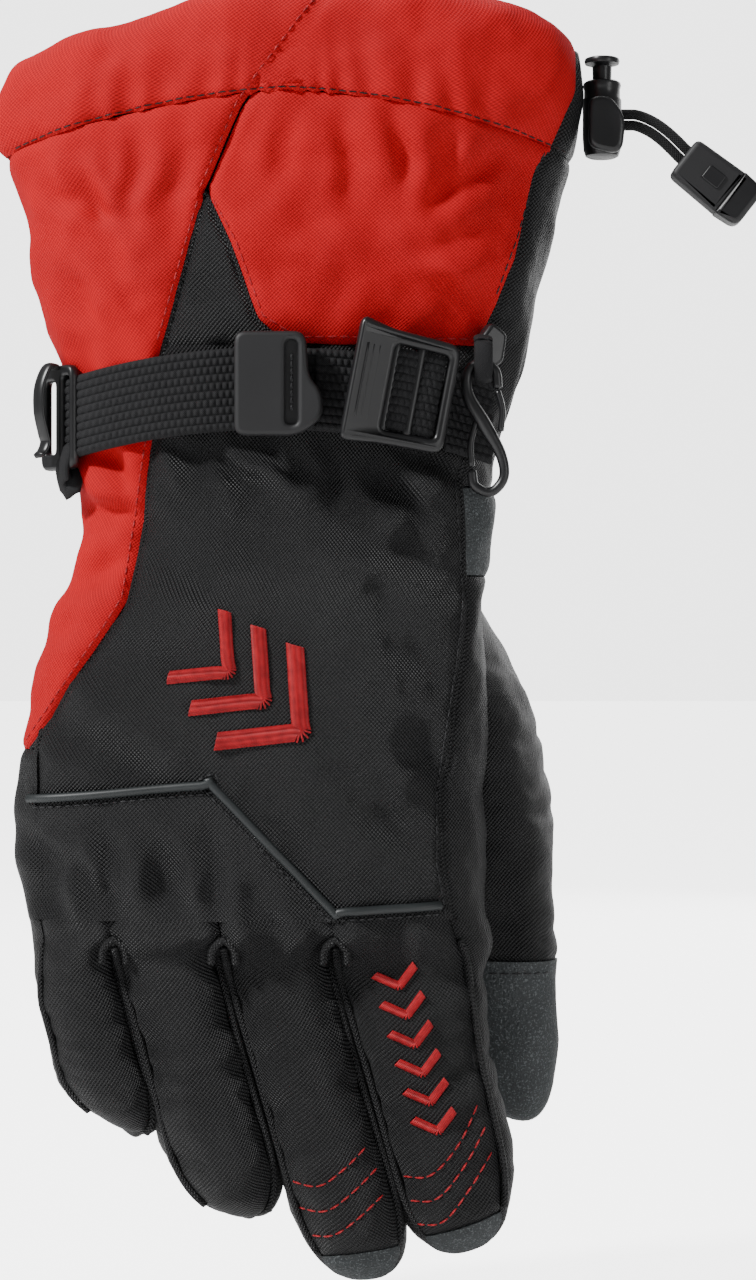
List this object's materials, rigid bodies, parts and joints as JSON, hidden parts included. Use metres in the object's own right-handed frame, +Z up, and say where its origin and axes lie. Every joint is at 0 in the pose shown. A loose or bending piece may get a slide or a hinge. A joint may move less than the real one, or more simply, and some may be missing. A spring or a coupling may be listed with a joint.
{
  "type": "ski glove",
  "caption": "Insulated gauntlet ski glove for the right hand, with wrist strap, ladder-lock buckle, snap hook and drawcord cuff.",
  "frame": {"origin": "centre of the cuff's mouth, where the hand goes in", "axes": "+Z up the forearm out of the cuff, the fingers point down; -Y is the back of the hand, +Y the palm, +X the thumb side"},
  "size_m": [0.1885, 0.0808, 0.3171],
  "materials": {
    "red_fabric": "woven polyester",
    "black_fabric": "woven polyester",
    "grey_leather": "grained synthetic leather",
    "lining": "brushed fleece",
    "insulation": "loose fibre batting",
    "membrane": "thin film",
    "webbing": "ribbed polypropylene webbing",
    "plastic": "moulded acetal, satin",
    "cord": "braided elastic",
    "piping": "coated piping",
    "embroidery": "satin stitch",
    "spring": "drawn wire"
  },
  "bodies": {
    "root": {"cuff_hem": "red_fabric", "gauntlet_panel_left": "red_fabric", "gauntlet_panel_right": "red_fabric", "gauntlet_side_gusset": "black_fabric", "gauntlet_under_panel": "black_fabric", "gauntlet_centre_inset": "black_fabric", "hand_back_panel": "black_fabric", "knuckle_piping": "piping", "knuckle_panel": "black_fabric", "hand_side_little_finger": "black_fabric", "hand_side_thumb": "black_fabric", "wrist_patch": "grey_leather", "palm_panel": "grey_leather", "palm_reinforcement": "grey_leather", "insulation_back": "insulation", "insulation_palm": "insulation", "waterproof_membrane": "membrane", "hand_lining": "lining", "gauntlet_lining": "lining", "hem_drawcord": "cord", "thumb_gusset": "black_fabric", "wrist_strap": "webbing", "buckle_anchor_loop": "webbing", "clip_frame": "plastic", "hook_loop": "webbing", "cord_lock_body": "plastic", "cord_lock_spring": "spring", "drawcord_upper_leg": "cord", "drawcord_lower_leg": "cord", "cord_end_body": "plastic", "cord_end_cap": "plastic", "embroidered_badge": "embroidery"},
    "little_finger": {"little_finger_back": "black_fabric", "little_finger_palm": "grey_leather", "little_finger_lining": "lining"},
    "ring_finger": {"ring_finger_back": "black_fabric", "ring_finger_palm": "grey_leather", "ring_finger_lining": "lining"},
    "middle_finger": {"middle_finger_back": "black_fabric", "middle_finger_palm": "grey_leather", "middle_finger_lining": "lining"},
    "index_finger": {"index_finger_back": "black_fabric", "index_finger_palm": "grey_leather", "index_finger_lining": "lining"},
    "thumb": {"thumb_back": "black_fabric", "thumb_tip_cap": "grey_leather", "thumb_palm": "grey_leather", "thumb_lining": "lining"},
    "buckle": {"ladder_lock_buckle": "plastic", "buckle_webbing_turn": "webbing"},
    "strap_tail": {"strap_tail": "webbing", "strap_end_tab": "plastic"},
    "clip_tongue": {"clip_tongue": "plastic"},
    "snap_hook": {"snap_hook": "plastic"},
    "upper_gate": {"snap_hook_upper_gate": "plastic"},
    "lower_gate": {"snap_hook_lower_gate": "plastic"},
    "lock_button": {"cord_lock_button": "plastic"}
  },
  "joints": [
    {"name": "little_finger_flex", "type": "hinge", "parent": "root", "child": "little_finger", "pos_m": [-0.0565, 0, -0.237], "axis": [0.9659, 0, -0.2588], "range_deg": [0, 50], "stiffness_Nm_per_rad": 0.08},
    {"name": "ring_finger_flex", "type": "hinge", "parent": "root", "child": "ring_finger", "pos_m": [-0.031, 0, -0.237], "axis": [0.9659, 0, -0.2588], "range_deg": [0, 50], "stiffness_Nm_per_rad": 0.08},
    {"name": "middle_finger_flex", "type": "hinge", "parent": "root", "child": "middle_finger", "pos_m": [-0.0038, 0, -0.237], "axis": [0.9659, 0, -0.2588], "range_deg": [0, 50], "stiffness_Nm_per_rad": 0.08},
    {"name": "index_finger_flex", "type": "hinge", "parent": "root", "child": "index_finger", "pos_m": [0.0235, 0, -0.237], "axis": [0.9659, 0, -0.2588], "range_deg": [0, 35], "stiffness_Nm_per_rad": 0.08},
    {"name": "thumb_spread", "type": "hinge", "parent": "root", "child": "thumb", "pos_m": [0.0618, 0.033, -0.168], "axis": [0, -1, 0], "range_deg": [0, 18], "stiffness_Nm_per_rad": 0.3},
    {"name": "buckle_lift", "type": "hinge", "parent": "root", "child": "buckle", "pos_m": [0.03894, -0.02633, -0.099], "axis": [0, 0, 1], "range_deg": [0, 28]},
    {"name": "strap_pull", "type": "slide", "parent": "root", "child": "strap_tail", "axis": [-0.9744, -0.225, 0], "range_m": [0, 0.01]},
    {"name": "clip_tongue_flex", "type": "hinge", "parent": "root", "child": "clip_tongue", "pos_m": [-0.06088, -0.00343, -0.0923], "axis": [0.2419, -0.9703, 0], "range_deg": [0, 6], "stiffness_Nm_per_rad": 0.05},
    {"name": "snap_hook_swing", "type": "hinge", "parent": "root", "child": "snap_hook", "pos_m": [0.0476, -0.0225, -0.096], "axis": [0, -1, 0], "range_deg": [0, 75]},
    {"name": "upper_gate_open", "type": "hinge", "parent": "snap_hook", "child": "upper_gate", "pos_m": [0.0521, -0.0225, -0.108], "axis": [0, -1, 0], "range_deg": [0, 16], "stiffness_Nm_per_rad": 0.02},
    {"name": "lower_gate_open", "type": "hinge", "parent": "snap_hook", "child": "lower_gate", "pos_m": [0.0454, -0.0225, -0.1074], "axis": [0, -1, 0], "range_deg": [0, 16], "stiffness_Nm_per_rad": 0.02},
    {"name": "cord_lock_press", "type": "slide", "parent": "root", "child": "lock_button", "axis": [0, 0, -1], "range_m": [0, 0.0024], "stiffness_N_per_m": 600, "deforming": ["cord_lock_spring"]}
  ]
}
